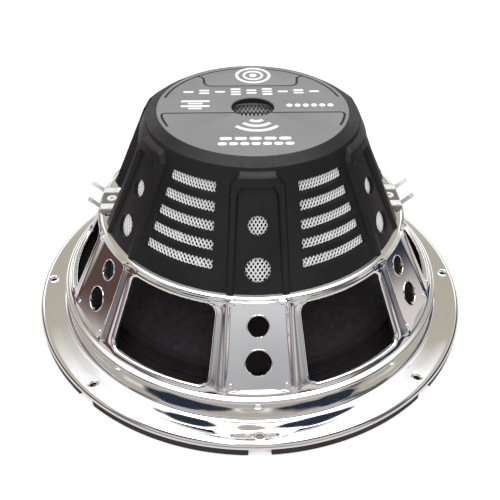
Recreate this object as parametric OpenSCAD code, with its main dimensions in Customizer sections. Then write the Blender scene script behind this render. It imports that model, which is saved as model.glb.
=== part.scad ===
// Twelve-inch car subwoofer, resting face down on its gasket.
// +Z runs from the front of the driver towards the back of the motor.
// Azimuths are measured from -Y towards +X, so the front spoke is at 0.

/* [Basket] */
// Outer radius of the mounting flange
flange_r = 158.5; // [158.5:0.5:160]
// Height of the flange's rear face above the rest plane
flange_z = 10; // [10:0.25:11]
// Thickness of the pressed steel sheet
sheet_t = 1.8; // [1.6:0.1:2]
// Radius of the screw circle
screw_circle_r = 151; // [150.5:0.25:151.5]
// Number of mounting screws
screw_count = 8; // [8]
// Radius of a mounting screw hole
screw_hole_r = 2.9; // [2.5:0.1:3.1]
// Height of the rear ledge that the motor cover stands on
ledge_z = 82; // [82:0.5:83]
// Number of spokes, and of windows between them
spoke_count = 6; // [6]
// How deep the panel of a spoke is pressed in at its top
panel_depth = 4; // [3:0.25:4.5]
// How deep the panel of a spoke is pressed in at its bottom
panel_foot_depth = 1.5; // [1.5:0.25:3]

/* [Motor] */
// Radius of the ring magnet
magnet_r = 70; // [66:0.5:70]
// Thickness of the ring magnet
magnet_t = 24; // [20:1:24]
// Radius of the pole piece
pole_r = 30.6; // [30:0.1:30.6]
// Radius of the vent bored through the pole piece
vent_r = 13; // [10:0.5:13]

/* [Moving parts] */
// Inner radius of the coil former
former_r = 31.5; // [31.4:0.1:31.5]
// Radius of the cone's outer edge
cone_r = 111.5; // [111:0.5:112]
// Wall thickness of the cone
cone_t = 1.4; // [1:0.1:1.6]
// Radius of the dust cap
dust_cap_r = 46; // [42:1:50]
// Radius of the half roll of the surround
roll_r = 9.6; // [9:0.1:9.8]

/* [Cover] */
// Height of the flat top of the cover
cover_top_z = 154.6; // [154:0.2:155]
// Radius of the foot of the cover
cover_foot_r = 102.8; // [102:0.1:103.5]
// Wall thickness of the cover
cover_t = 2.6; // [2:0.1:2.8]
// How far the rib frames stand proud near the top of the cover
rib_h = 3; // [2:0.25:3]
// How far the rib frames stand proud at the foot of the cover
rib_foot_h = 1.5; // [1.25:0.25:2]
// Radius of the badge disc
badge_r = 62.6; // [60:0.2:62.6]
// Number of louvre slots in one panel
slot_count = 5; // [3:1:5]

/* [Terminals] */
// Width of a terminal tab
tab_w = 4.8; // [4.8, 6.3]
// Angle at which the tabs rise from the ledge
tab_rise = 42; // [30:1:45]
// Diameter of a tinsel lead
lead_d = 2; // [1.6:0.1:2]

/* [Hidden] */
$fn = 180;
EPS = 0.05;
FAR = 200;

// Basket profile
neck_r = 69.2;
neck_z = 98;
neck_hole_r = 37;
neck_fillet_r = 3;
ledge_root_r = 72.4;
bead_r = 3.3;
bead_centre_r = 104.3;
wall_foot = [133.4, 28];
wall_tilt = 26.3;
shelf_z = 26;
step_r = 138.2;
step_corner_r = 2.6;
flange_fillet_r = 2.4;
flange_root_r = 140.9;
flange_flat_r = 154.6;
lip_r = flange_r - flange_flat_r;
lip_z = flange_z - lip_r;

// Basket windows and spokes
window_top_z = 76.8;
window_bottom_z = 30;
window_top_half = 31;
window_bottom_half = 36.5;
window_corner_r = 5.5;
panel_top_z = 79;
panel_bottom_z = 26.5;
panel_top_half = 18.2;
panel_bottom_half = 21.7;
panel_corner_r = 3;
panel_hole_z = [64.5, 44.2];
panel_hole_r = [6.6, 8.1];

// Gasket
gasket_inner_r = 140.5;
gasket_r = 158.3;
gasket_gap = 5.2;

// Motor
top_plate_r = 69;
top_plate_t = 10;
gap_r = 34.6;
magnet_hole_r = 42;
yoke_r = 68;
yoke_t = 12;
plate_chamfer = 1.5;
magnet_z = neck_z + top_plate_t;
yoke_z = magnet_z + magnet_t;
yoke_top_z = yoke_z + yoke_t;
motor_screw_circle_r = 58;
motor_screw_count = 6;
motor_screw_r = 2.4;

// Moving parts
former_t = 0.6;
former_bottom_z = 63;
former_top_z = 119;
winding_t = 0.7;
winding_bottom_z = 88;
winding_top_z = 118;
collar_t = 1.2;
collar_top_z = 86;
cone_edge_z = 22.2;
cone_neck_z = 64;
cone_neck_r = former_r + former_t + EPS;
cap_height = 13;
surround_t = 0.9;
surround_land_z = shelf_z - sheet_t - surround_t - EPS;
surround_outer_r = 135.6;
roll_centre_r = 122.6;
joint_gap = 0.3;
spider_t = 0.9;
spider_r = 86;
spider_land_r = 78;
spider_inner_r = former_r + former_t + collar_t + joint_gap;
spider_wave = 2.1;
spider_waves = 5;
spider_mean_z = 77.2;

// Cover
cover_side_z = 150.6;
cover_side_r = 70.1;
cover_edge_r = 63;
badge_t = 1.2;
badge_z = cover_top_z - badge_t;
vent_hole_r = 14;
cover_slope = (cover_foot_r - cover_side_r) / (cover_side_z - ledge_z);
cover_tilt = atan(cover_slope);
rib_top_z = 149;
rib_bevel_z = 146.6;
rib_corner_z = 142.3;
rib_top_half = 10.6;
rib_corner_half = 16;
rib_foot_half = 19.4;
recess_top_z = 140.8;
recess_top_half = 10.4;
recess_foot_half = 14.5;
rib_hole_z = [120.2, 95.7];
rib_hole_r = [6, 7.8];
slot_first_z = 92.8;
slot_pitch = 10.5;
slot_height = 7.1;
slot_inner_az = [16.5, 18.8];
slot_outer_az = [46, 43.5];
pocket_x = 74.5;
pocket_wall_t = 2;
pocket_half_az = 14.4;
boss_circle_r = 44;
boss_count = 4;
boss_r = 6;
cover_screw_r = 2.2;
liner_gap = 0.3;
liner_t = 1;
liner_bottom_z = 85;
liner_top_z = 145;
liner_half_az = 70;
screen_t = 0.8;
screen_r = 25;

// Terminals
board_x = [92, 105.3];
board_half = 15;
board_t = 1.6;
tab_t = 0.8;
tab_y = 10.2;
tab_x = [93.4, 105.6];
tab_pad_w = 6;
tab_length = 10.4;
tab_hole_r = 0.9;
rivet_x = 98.7;
rivet_r = 2;
rivet_head_r = 3.4;
rivet_head_t = 0.7;
rivet_hole_r = 1.1;
board_z = ledge_z;
pad_z = board_z + board_t;
lead_slot_x = [87.6, 91.6];
lead_slot_half = 13;
dark_slot_x = [98, 102];
dark_slot_y = [-18.6, -15.6];
lead_rings = 26;
lead_sides = 8;

// Points on an arc, in degrees
function arc(centre, r, a0, a1, steps = 5) =
    [for (i = [0:steps]) let (a = a0 + (a1 - a0) * i / steps) centre + r * [cos(a), sin(a)]];

// Unit normal on the right of the way from p to q
function right_of(p, q) = let (d = (q - p) / norm(q - p)) [d[1], -d[0]];

// The path moved sideways by t, to its right where t is positive
function beside(path, t) = let (n = len(path)) [for (i = [0:n - 1])
    let (
        before = right_of(path[max(i - 1, 0)], path[max(i, 1)]),
        after = right_of(path[min(i, n - 2)], path[min(i + 1, n - 1)])
    ) path[i] + t * (before + after) / (1 + before * after)];

function reversed(path) = [for (i = [len(path) - 1:-1:0]) path[i]];

// A sheet of thickness t along a path, as a closed outline
function sheet(path, t) = concat(path, reversed(beside(path, t)));

// An outline symmetric about x = 0, from the points of its right half, bottom first
function mirrored(half) = concat(half, reversed([for (p = half) [-p[0], p[1]]]));

// An outline with each corner rounded
function rounded(points, r, steps = 5) = let (n = len(points)) [for (i = [0:n - 1]) each
    let (
        p = points[i],
        u = (points[(i + n - 1) % n] - p) / norm(points[(i + n - 1) % n] - p),
        v = (points[(i + 1) % n] - p) / norm(points[(i + 1) % n] - p),
        half = acos(u * v) / 2,
        centre = p + r / sin(half) * (u + v) / norm(u + v),
        a0 = atan2((p + u * r / tan(half) - centre)[1], (p + u * r / tan(half) - centre)[0]),
        a1 = atan2((p + v * r / tan(half) - centre)[1], (p + v * r / tan(half) - centre)[0]),
        turn = ((a1 - a0 + 540) % 360) - 180
    ) arc(centre, r, a0, a0 + turn, steps)];

// Radius of the basket's cone wall at height z, dented inwards by depth
function wall_r(z, depth = 0) = wall_foot[0] + (wall_foot[1] - z) * tan(wall_tilt) - depth / cos(wall_tilt);

// Depth of a spoke panel below the cone wall at height z
function panel_depth_at(z) =
    panel_foot_depth + (panel_depth - panel_foot_depth) * (z - panel_bottom_z) / (panel_top_z - panel_bottom_z);

// Radius of the cover's side at height z, moved outwards by d
function cover_r(z, d = 0) = cover_side_r + (cover_side_z - z) * cover_slope + d / cos(cover_tilt);

// A radial prism at an azimuth: the outline is [tangential, z]
module radial(az, outline, from = 0) {
    rotate([0, 0, az])
        translate([0, -from, 0])
            rotate([90, 0, 0])
                linear_extrude(FAR - from) polygon(outline);
}

// A ring of revolution between two azimuths
module sector(az0, az1) {
    rotate([0, 0, az0 - 90]) rotate_extrude(angle = az1 - az0) children();
}

// A drill of radius r, normal to a wall that leans by tilt
module drill(az, r_at, z, tilt, r) {
    rotate([0, 0, az])
        translate([0, -r_at, z])
            rotate([90 - tilt, 0, 0])
                translate([0, 0, -12]) cylinder(h = 24, r = r, $fn = 48);
}

// Children repeated on a circle
module around(count, r = 0, start = 0) {
    for (i = [0:count - 1])
        rotate([0, 0, start + i * 360 / count]) translate([0, -r, 0]) children();
}

// The rear side of the basket's sheet, from the neck hole out to the flange's lip
function basket_path() = let (
    bead_centre = [bead_centre_r, ledge_z - bead_r],
    step_centre = [step_r - step_corner_r, shelf_z - step_corner_r]
) concat(
    [[neck_hole_r, neck_z]],
    arc([neck_r - neck_fillet_r, neck_z - neck_fillet_r], neck_fillet_r, 90, 4),
    arc([ledge_root_r, ledge_z + neck_fillet_r], neck_fillet_r, 184, 270),
    arc(bead_centre, bead_r, 90, wall_tilt),
    [wall_foot],
    arc(step_centre, step_corner_r, 90, 4),
    arc([flange_root_r, flange_z + flange_fillet_r], flange_fillet_r, 184, 270),
    arc([flange_flat_r, flange_z - lip_r], lip_r, 90, 0, 6)
);

window_outline = rounded(mirrored([
    [window_bottom_half, window_bottom_z],
    [window_top_half, window_top_z]
]), window_corner_r);

panel_corners = mirrored([
    [panel_bottom_half, panel_bottom_z],
    [panel_top_half, panel_top_z]
]);
panel_outline = rounded(panel_corners, panel_corner_r);
panel_inset = rounded(mirrored([
    [panel_bottom_half - sheet_t, panel_bottom_z + sheet_t],
    [panel_top_half - sheet_t, panel_top_z - sheet_t]
]), panel_corner_r - sheet_t / 2);

// A ring along the cone wall, from depth0 below its outer side to a distance below the panel
module wall_band(depth0, below) {
    low = panel_bottom_z - 4;
    high = panel_top_z + 4;
    rotate_extrude() polygon([
        [wall_r(low, depth0), low],
        [wall_r(high, depth0), high],
        [wall_r(high, panel_depth_at(high) + below), high],
        [wall_r(low, panel_depth_at(low) + below), low]
    ]);
}

// The pressed-in tray of one spoke
module spoke_panel(az) {
    intersection() {
        radial(az, panel_outline, 60);
        difference() {
            wall_band(0.3, sheet_t);
            intersection() {
                radial(az, panel_inset, 60);
                wall_band(-EPS, 0);
            }
        }
    }
}

module basket() {
    color("gainsboro") difference() {
        union() {
            difference() {
                rotate_extrude() polygon(sheet(basket_path(), sheet_t));
                for (i = [0:spoke_count - 1]) {
                    radial((i + 0.5) * 360 / spoke_count, window_outline, 60);
                    radial(i * 360 / spoke_count, panel_outline, 60);
                }
            }
            for (i = [0:spoke_count - 1]) spoke_panel(i * 360 / spoke_count);
        }
        for (i = [0:spoke_count - 1], k = [0:1])
            drill(i * 360 / spoke_count, wall_r(panel_hole_z[k], panel_depth_at(panel_hole_z[k])),
                panel_hole_z[k], wall_tilt, panel_hole_r[k]);
        around(screw_count, screw_circle_r)
            translate([0, 0, lip_z - 1]) cylinder(h = 6, r = screw_hole_r, $fn = 48);
        around(motor_screw_count, motor_screw_circle_r, 30)
            translate([0, 0, neck_z - 4]) cylinder(h = 6, r = motor_screw_r, $fn = 48);
        for (side = [-1, 1]) {
            translate([side > 0 ? lead_slot_x[0] : -lead_slot_x[1], -lead_slot_half, ledge_z - 3])
                cube([lead_slot_x[1] - lead_slot_x[0], 2 * lead_slot_half, 6]);
            translate([side > 0 ? dark_slot_x[0] : -dark_slot_x[1], dark_slot_y[0], ledge_z - 3])
                cube([dark_slot_x[1] - dark_slot_x[0], dark_slot_y[1] - dark_slot_y[0], 6]);
            translate([side * rivet_x, 0, ledge_z - 3]) cylinder(h = 6, r = rivet_r, $fn = 48);
        }
    }
}

module gasket_segments() {
    span = 360 / screw_count - gasket_gap;
    lip_inner_r = flange_flat_r - 0.4;
    color([0.07, 0.07, 0.07])
        for (i = [0:screw_count - 1])
            sector(gasket_gap / 2 + i * 360 / screw_count, gasket_gap / 2 + i * 360 / screw_count + span)
                polygon([
                    [gasket_inner_r, 0.8],
                    [gasket_inner_r + 0.8, 0],
                    [gasket_r - 0.8, 0],
                    [gasket_r, 0.8],
                    [gasket_r, lip_z - 0.1],
                    [lip_inner_r, lip_z - 0.1],
                    [lip_inner_r, flange_z - sheet_t],
                    [gasket_inner_r, flange_z - sheet_t]
                ]);
}

module surround() {
    path = concat(
        [[surround_outer_r, surround_land_z]],
        arc([roll_centre_r, surround_land_z], roll_r, 0, -180, 16),
        [[cone_r + joint_gap, surround_land_z]]
    );
    color([0.09, 0.09, 0.09]) rotate_extrude() polygon(sheet(path, surround_t));
}

module cone() {
    path = [[cone_neck_r, cone_neck_z], [cone_neck_r + 2, cone_neck_z], [cone_r - 5, cone_edge_z + 1.4], [cone_r, cone_edge_z]];
    color([0.12, 0.12, 0.12]) rotate_extrude() polygon(sheet(path, cone_t));
}

module dust_cap() {
    edge_z = cone_edge_z + (cone_r - dust_cap_r) * (cone_neck_z - cone_edge_z) / (cone_r - cone_neck_r) - 2 * cone_t;
    ball_r = (dust_cap_r * dust_cap_r + cap_height * cap_height) / (2 * cap_height);
    half = asin(dust_cap_r / ball_r);
    centre = [0, edge_z - cap_height + ball_r];
    color([0.1, 0.1, 0.1]) rotate_extrude() polygon(concat(
        arc(centre, ball_r, -90, -90 + half, 12),
        arc(centre, ball_r - cone_t, -90 + half, -90, 12)
    ));
}

module spider() {
    wave_r0 = spider_inner_r + 4;
    wave_r1 = spider_land_r - 2;
    land_z = ledge_z - sheet_t;
    path = concat(
        [[spider_inner_r, spider_mean_z]],
        [for (i = [0:spider_waves * 8])
            let (s = i / (spider_waves * 8))
            [wave_r0 + (wave_r1 - wave_r0) * s, spider_mean_z - spider_wave * sin(s * spider_waves * 360)]],
        [[spider_land_r + 1, land_z], [spider_r, land_z]]
    );
    color([0.85, 0.65, 0.2]) rotate_extrude() polygon(sheet(path, spider_t));
}

// A plain tube
module tube(r0, r1, z0, z1) {
    rotate_extrude() translate([r0, z0]) square([r1 - r0, z1 - z0]);
}

module coil_former() {
    color([0.7, 0.6, 0.35]) tube(former_r, former_r + former_t, former_bottom_z, former_top_z);
}

module former_collar() {
    collar_r = former_r + former_t;
    color([0.35, 0.3, 0.25]) tube(collar_r, collar_r + collar_t, cone_neck_z + EPS, collar_top_z);
}

module voice_coil_inner() {
    coil_r = former_r + former_t;
    color([0.72, 0.4, 0.2]) tube(coil_r, coil_r + winding_t, winding_bottom_z, winding_top_z);
}

module voice_coil_outer() {
    coil_r = former_r + former_t + winding_t;
    color([0.8, 0.45, 0.2]) tube(coil_r, coil_r + winding_t, winding_bottom_z, winding_top_z);
}

// A plate or ring with broken edges
module plate(r0, r1, z0, z1) {
    c = plate_chamfer;
    rotate_extrude() polygon([
        [r0, z0], [r1 - c, z0], [r1, z0 + c], [r1, z1 - c], [r1 - c, z1], [r0, z1]
    ]);
}

module top_plate() {
    color([0.55, 0.56, 0.58]) difference() {
        plate(gap_r, top_plate_r, neck_z, magnet_z);
        around(motor_screw_count, motor_screw_circle_r, 30)
            translate([0, 0, neck_z - 1]) cylinder(h = 8, r = motor_screw_r, $fn = 48);
    }
}

module ring_magnet() {
    color([0.2, 0.2, 0.21]) plate(magnet_hole_r, magnet_r, magnet_z, yoke_z);
}

module pole_yoke() {
    c = plate_chamfer;
    color([0.5, 0.51, 0.53]) difference() {
        rotate_extrude() polygon([
            [vent_r, neck_z], [pole_r - c, neck_z], [pole_r, neck_z + c], [pole_r, yoke_z],
            [yoke_r - c, yoke_z], [yoke_r, yoke_z + c], [yoke_r, yoke_top_z - c],
            [yoke_r - c, yoke_top_z], [vent_r, yoke_top_z]
        ]);
        around(boss_count, boss_circle_r, 45)
            translate([0, 0, yoke_top_z - 8]) cylinder(h = 9, r = cover_screw_r, $fn = 48);
    }
}

// A pan-head screw with a cross slot, its shank up and its head below z = 0
module screw(r, head_r, head_h, length) {
    difference() {
        union() {
            cylinder(h = length, r = r - 0.02, $fn = 48);
            translate([0, 0, -head_h]) cylinder(h = head_h, r = head_r, $fn = 48);
        }
        for (size = [[head_r * 1.2, 1, 2], [1, head_r * 1.2, 2]])
            translate([0, 0, -head_h]) cube(size, center = true);
    }
}

module motor_screws() {
    color("silver") around(motor_screw_count, motor_screw_circle_r, 30)
        translate([0, 0, neck_z - sheet_t]) screw(motor_screw_r, 4.4, 2.6, 7.4);
}

module cover_screws() {
    color("silver") around(boss_count, boss_circle_r, 45)
        translate([0, 0, badge_z - 2.1]) mirror([0, 0, 1]) screw(cover_screw_r, 3.8, 2, 14);
}

rib_outline = mirrored([
    [rib_foot_half, ledge_z],
    [rib_corner_half, rib_corner_z],
    [rib_top_half, rib_top_z]
]);
recess_outline = mirrored([
    [recess_foot_half, ledge_z - 1],
    [recess_top_half + 0.7, recess_top_z - 3.5],
    [recess_top_half - 2, recess_top_z]
]);

// Solid of revolution inside the cover's side, moved outwards by d, and by foot_d at the foot
module cover_skin(d, foot_d) {
    rotate_extrude() polygon([
        [0, ledge_z], [cover_r(ledge_z, foot_d), ledge_z],
        [cover_r(rib_bevel_z, d), rib_bevel_z],
        [cover_r(cover_side_z), cover_side_z], [0, cover_side_z]
    ]);
}

// One U-shaped frame standing on the cover
module rib_frame(az) {
    intersection() {
        cover_skin(rib_h, rib_foot_h);
        difference() {
            radial(az, rib_outline, 40);
            radial(az, recess_outline, 30);
        }
    }
}

// The pocket over a terminal board, wider outwards by a radial angle
module pocket(side, grow) {
    near = pocket_x - grow;
    half = near * tan(pocket_half_az) + grow;
    far_half = 120 * tan(pocket_half_az) + grow;
    translate([0, 0, ledge_z - 1]) linear_extrude(80) polygon([
        [side * near, -half], [side * 120, -far_half], [side * 120, far_half], [side * near, half]
    ]);
}

// The hollow inside the cover
module cover_hollow() {
    rotate_extrude() polygon([
        [0, ledge_z - 1],
        [cover_r(ledge_z - 1, -cover_t), ledge_z - 1],
        [cover_r(cover_side_z - 2, -cover_t), cover_side_z - 2],
        [cover_edge_r - 1, badge_z - cover_t],
        [0, badge_z - cover_t]
    ]);
}

// Louvre slots of one panel; turn is +1 or -1 for the way they run from its centre rib
module louvres(az, turn) {
    for (i = [0:slot_count - 1]) {
        s = i / 4;
        z = slot_first_z + i * slot_pitch;
        a0 = az + turn * (slot_inner_az[0] + (slot_inner_az[1] - slot_inner_az[0]) * s);
        a1 = az + turn * (slot_outer_az[0] + (slot_outer_az[1] - slot_outer_az[0]) * s);
        sector(min(a0, a1), max(a0, a1))
            translate([cover_r(z) - 14, z]) square([24, slot_height]);
    }
}

module motor_cover() {
    color([0.17, 0.16, 0.165]) difference() {
        union() {
            difference() {
                union() {
                    rotate_extrude() polygon([
                        [0, ledge_z], [cover_foot_r, ledge_z], [cover_side_r, cover_side_z],
                        [cover_edge_r, cover_top_z], [0, cover_top_z]
                    ]);
                    for (i = [0:spoke_count - 1]) rib_frame(i * 360 / spoke_count);
                }
                difference() {
                    cover_hollow();
                    for (side = [-1, 1]) pocket(side, pocket_wall_t);
                }
                for (side = [-1, 1]) pocket(side, 0);
            }
            around(boss_count, boss_circle_r, 45)
                translate([0, 0, yoke_top_z]) cylinder(h = badge_z - yoke_top_z - 1, r = boss_r, $fn = 48);
        }
        translate([0, 0, badge_z]) cylinder(h = 4, r = cover_edge_r - 0.2);
        translate([0, 0, badge_z - 8]) cylinder(h = 10, r = vent_hole_r, $fn = 96);
        around(boss_count, boss_circle_r, 45) {
            translate([0, 0, yoke_top_z - 1]) cylinder(h = 20, r = cover_screw_r, $fn = 48);
            translate([0, 0, badge_z - 2.1]) cylinder(h = 4, r = 4, $fn = 48);
        }
        for (i = [0:spoke_count - 1], k = [0:1])
            drill(i * 360 / spoke_count, cover_r(rib_hole_z[k]), rib_hole_z[k], cover_tilt, rib_hole_r[k]);
        for (az = [0, 180], turn = [-1, 1]) louvres(az, turn);
    }
}

module mesh_liner() {
    color([0.75, 0.75, 0.76])
        for (az = [0, 180])
            sector(az - liner_half_az, az + liner_half_az) polygon([
                [cover_r(liner_bottom_z, -cover_t - liner_gap), liner_bottom_z],
                [cover_r(liner_top_z, -cover_t - liner_gap), liner_top_z],
                [cover_r(liner_top_z, -cover_t - liner_gap - liner_t), liner_top_z],
                [cover_r(liner_bottom_z, -cover_t - liner_gap - liner_t), liner_bottom_z]
            ]);
}

module badge_disc() {
    color([0.6, 0.6, 0.6]) difference() {
        translate([0, 0, badge_z]) cylinder(h = badge_t, r = badge_r);
        translate([0, 0, badge_z - 1]) cylinder(h = 4, r = vent_hole_r, $fn = 96);
    }
}

module vent_screen() {
    color([0.75, 0.75, 0.76])
        translate([0, 0, yoke_top_z]) cylinder(h = screen_t, r = screen_r, $fn = 96);
}

module terminal_board(side) {
    color([0.2, 0.19, 0.18]) difference() {
        translate([side > 0 ? board_x[0] : -board_x[1], -board_half, board_z])
            cube([board_x[1] - board_x[0], 2 * board_half, board_t]);
        translate([side * rivet_x, 0, board_z - 1]) cylinder(h = 4, r = rivet_r, $fn = 48);
    }
}

module terminal_rivet(side) {
    shank_bottom = board_z - sheet_t;
    color("silver") translate([side * rivet_x, 0, 0]) difference() {
        union() {
            translate([0, 0, shank_bottom]) cylinder(h = pad_z - shank_bottom, r = rivet_r - 0.02, $fn = 48);
            translate([0, 0, pad_z]) cylinder(h = rivet_head_t, r = rivet_head_r, $fn = 48);
            translate([0, 0, shank_bottom - rivet_head_t]) cylinder(h = rivet_head_t, r = rivet_head_r, $fn = 48);
        }
        translate([0, 0, shank_bottom - 4]) cylinder(h = 12, r = rivet_hole_r, $fn = 48);
    }
}

module terminal_tab(side, row) {
    bend = [tab_x[1], pad_z];
    way = [cos(tab_rise), sin(tab_rise)];
    path = [[tab_x[0], pad_z], bend, bend + tab_length * way];
    color("silver") difference() {
        intersection() {
            translate([0, row * tab_y + tab_pad_w / 2, 0])
                rotate([90, 0, 0])
                    linear_extrude(tab_pad_w)
                        polygon([for (p = sheet(path, -tab_t)) [side * p[0], p[1]]]);
            union() {
                translate([side * (tab_x[0] + tab_x[1]) / 2, row * tab_y, pad_z])
                    cube([tab_x[1] - tab_x[0], tab_pad_w, 6], center = true);
                translate([side * tab_x[1], row * tab_y, pad_z])
                    cube([30, tab_w, 40], center = true);
            }
        }
        translate([side * (bend[0] + way[0] * (tab_length - 2)), row * tab_y, bend[1] + way[1] * (tab_length - 2)])
            rotate([0, -side * tab_rise, 0])
                translate([0, 0, -3]) cylinder(h = 6, r = tab_hole_r, $fn = 32);
    }
}

// Route of a tinsel lead as [radial, sideways, z], from its tab to the coil former
lead_start = [tab_x[0], tab_y, pad_z + lead_d / 2 + EPS];
lead_route = [
    lead_start, [90.6, 10.2, 84.6], [89.4, 10, 80], [86, 9.8, 72.5], [78, 9.4, 68.6],
    [66, 8.8, 67], [54, 8, 67.4], [44, 7.2, 68.4], [33.9, 6.4, 69.6]
];

// A point on the smooth curve through the route; t runs from 0 to 1
function route_point(t) = let (
    n = len(lead_route) - 1,
    i = min(floor(t * n), n - 1),
    s = t * n - i,
    p0 = lead_route[max(i - 1, 0)],
    p1 = lead_route[i],
    p2 = lead_route[i + 1],
    p3 = lead_route[min(i + 2, n)]
) 0.5 * (2 * p1 + (p2 - p0) * s + (2 * p0 - 5 * p1 + 4 * p2 - p3) * s * s
    + (3 * p1 - p0 - 3 * p2 + p3) * s * s * s);

module tinsel_lead(side, row) {
    rings = [for (k = [0:lead_rings])
        let (
            t = k / lead_rings,
            c = route_point(t),
            d = route_point(min(t + 0.01, 1)) - route_point(max(t - 0.01, 0)),
            w = d / norm(d),
            u = cross(w, [0, 1, 0]) / norm(cross(w, [0, 1, 0])),
            v = cross(w, u)
        )
        [for (j = [0:lead_sides - 1])
            let (a = j * 360 / lead_sides, p = c + lead_d / 2 * (cos(a) * u + sin(a) * v))
            [side * p[0], row * p[1], p[2]]]];
    points = [for (ring = rings) each ring];
    n = lead_sides;
    walls = [for (k = [0:lead_rings - 1], j = [0:n - 1]) each [
        [k * n + j, k * n + (j + 1) % n, (k + 1) * n + (j + 1) % n],
        [k * n + j, (k + 1) * n + (j + 1) % n, (k + 1) * n + j]
    ]];
    caps = [[for (j = [n - 1:-1:0]) j], [for (j = [0:n - 1]) lead_rings * n + j]];
    faces = concat(walls, caps);
    color([0.8, 0.5, 0.3])
        polyhedron(points = points, faces = side * row > 0 ? [for (f = faces) reversed(f)] : faces);
}

basket();
gasket_segments();
surround();
cone();
dust_cap();
spider();
coil_former();
former_collar();
voice_coil_inner();
voice_coil_outer();
top_plate();
ring_magnet();
pole_yoke();
motor_screws();
motor_cover();
cover_screws();
mesh_liner();
badge_disc();
vent_screen();
terminal_board(-1);  // terminal_board_left
terminal_board(1);  // terminal_board_right
terminal_rivet(-1);  // terminal_rivet_left
terminal_rivet(1);  // terminal_rivet_right
terminal_tab(-1, -1);  // terminal_tab_left_front
terminal_tab(-1, 1);  // terminal_tab_left_rear
terminal_tab(1, -1);  // terminal_tab_right_front
terminal_tab(1, 1);  // terminal_tab_right_rear
tinsel_lead(-1, -1);  // tinsel_lead_left_front
tinsel_lead(-1, 1);  // tinsel_lead_left_rear
tinsel_lead(1, -1);  // tinsel_lead_right_front
tinsel_lead(1, 1);  // tinsel_lead_right_rear
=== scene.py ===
"""A twelve-inch car subwoofer standing face down on its gasket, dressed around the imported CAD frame.

Lengths are millimetres in the frame's axes until a mesh is made: +Z runs from the front of the
driver to the back of its motor, and the origin is the centre of the plane that the gasket rests on.
Azimuths are degrees from -Y towards +X, so the front spoke is at 0 and the terminals are at +-90.
"""
from math import asin, atan, atan2, cos, degrees, exp, hypot, pi, radians, sin, sqrt, tan

import bmesh
import bpy
import numpy as np
from mathutils import Matrix, Vector


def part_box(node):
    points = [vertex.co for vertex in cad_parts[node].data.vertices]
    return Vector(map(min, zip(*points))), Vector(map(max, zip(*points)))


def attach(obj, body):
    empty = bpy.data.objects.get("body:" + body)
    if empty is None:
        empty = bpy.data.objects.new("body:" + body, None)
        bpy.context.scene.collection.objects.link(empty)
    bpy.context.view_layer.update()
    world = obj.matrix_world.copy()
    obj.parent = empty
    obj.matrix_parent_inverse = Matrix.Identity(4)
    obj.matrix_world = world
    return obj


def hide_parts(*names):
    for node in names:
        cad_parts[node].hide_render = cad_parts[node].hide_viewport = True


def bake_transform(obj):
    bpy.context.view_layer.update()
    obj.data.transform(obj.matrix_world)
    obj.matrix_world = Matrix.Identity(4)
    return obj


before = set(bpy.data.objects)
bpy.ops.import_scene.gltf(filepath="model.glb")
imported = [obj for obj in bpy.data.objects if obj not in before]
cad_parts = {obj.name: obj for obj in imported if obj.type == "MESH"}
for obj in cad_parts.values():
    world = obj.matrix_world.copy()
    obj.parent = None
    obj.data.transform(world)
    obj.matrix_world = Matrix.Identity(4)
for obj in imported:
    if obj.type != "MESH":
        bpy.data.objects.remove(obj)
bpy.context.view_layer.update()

MM = 0.001
FIXED = "chassis"
MOVING = "cone_assembly"


def size_of(node):
    """Lowest and highest corner of a CAD node, in millimetres."""
    low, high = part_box(node)
    return np.array(low) / MM, np.array(high) / MM


# Basket
SHEET_T = 1.8
FLANGE_R, _, NECK_Z = size_of("basket")[1]
FLANGE_Z = 10
LIP_R = 3.9
LEDGE_Z = 82
NECK_R = 69.2
NECK_HOLE_R = 37
NECK_FILLET = 3
BEAD_R = 3.3
BEAD_CENTRE_R = 104.3
WALL_TILT = 26.3
WALL_FOOT = (133.4, 28.0)
SHELF_Z = 26
STEP_R = 138.2
STEP_CORNER = 2.0
ROOT_R = 140.9
ROOT_FILLET = 2.4
SPOKES = 6
SECTOR = 180 / SPOKES
PANEL = dict(half_low=21.7, half_high=18.2, low=28.0, high=79.0, corner=3.4)
PANEL_DEPTHS = (1.5, 4.0)
PANEL_WALL = 2.2
PANEL_FOOT_WALL = 0.9
PANEL_DIMPLE = (17.4, 31.6)
PANEL_HOLES = ((64.5, 6.6), (44.2, 8.1))
WINDOW = dict(half_low=36.5, half_high=31.0, low=30.0, high=76.8, corner=5.5)
SCREW_CIRCLE_R = 151
SCREWS = 8
SCREW_HOLE_R = 2.9

# Cover
COVER_TOP_Z = size_of("motor_cover")[1][2]
COVER_T = 2.6
COVER_FOOT = (102.8, 82.0)
COVER_SIDE = (70.1, 150.6)
COVER_EDGE_R = 63
COVER_SLOPE = (COVER_FOOT[0] - COVER_SIDE[0]) / (COVER_SIDE[1] - COVER_FOOT[1])
COVER_TILT = degrees(atan(COVER_SLOPE))
BADGE_T = 1.2
BADGE_Z = COVER_TOP_Z - BADGE_T
VENT_R = 14
RIB_H = 3.0
RIB_FOOT_H = 1.5


# ---------------------------------------------------------------- mesh helpers

def smooth(x):
    """0 below 0, 1 above 1, and a smooth turn between."""
    x = np.clip(x, 0, 1)
    return x * x * (3 - 2 * x)


def arc(centre, r, a0, a1, steps):
    """Points [radius, height] on an arc between two angles in degrees."""
    angles = np.radians(np.linspace(a0, a1, steps + 1))
    return [(centre[0] + r * cos(a), centre[1] + r * sin(a)) for a in angles]


def at(az, r, z):
    """The point at an azimuth, radius and height."""
    a = radians(az)
    return Vector((r * sin(a), -r * cos(a), z))


def make(name, points, faces):
    """A mesh object from points in millimetres."""
    mesh = bpy.data.meshes.new(name)
    mesh.from_pydata((np.asarray(points, float).reshape(-1, 3) * MM).tolist(), [], faces)
    mesh.update()
    obj = bpy.data.objects.new(name, mesh)
    bpy.context.scene.collection.objects.link(obj)
    return obj


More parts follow.
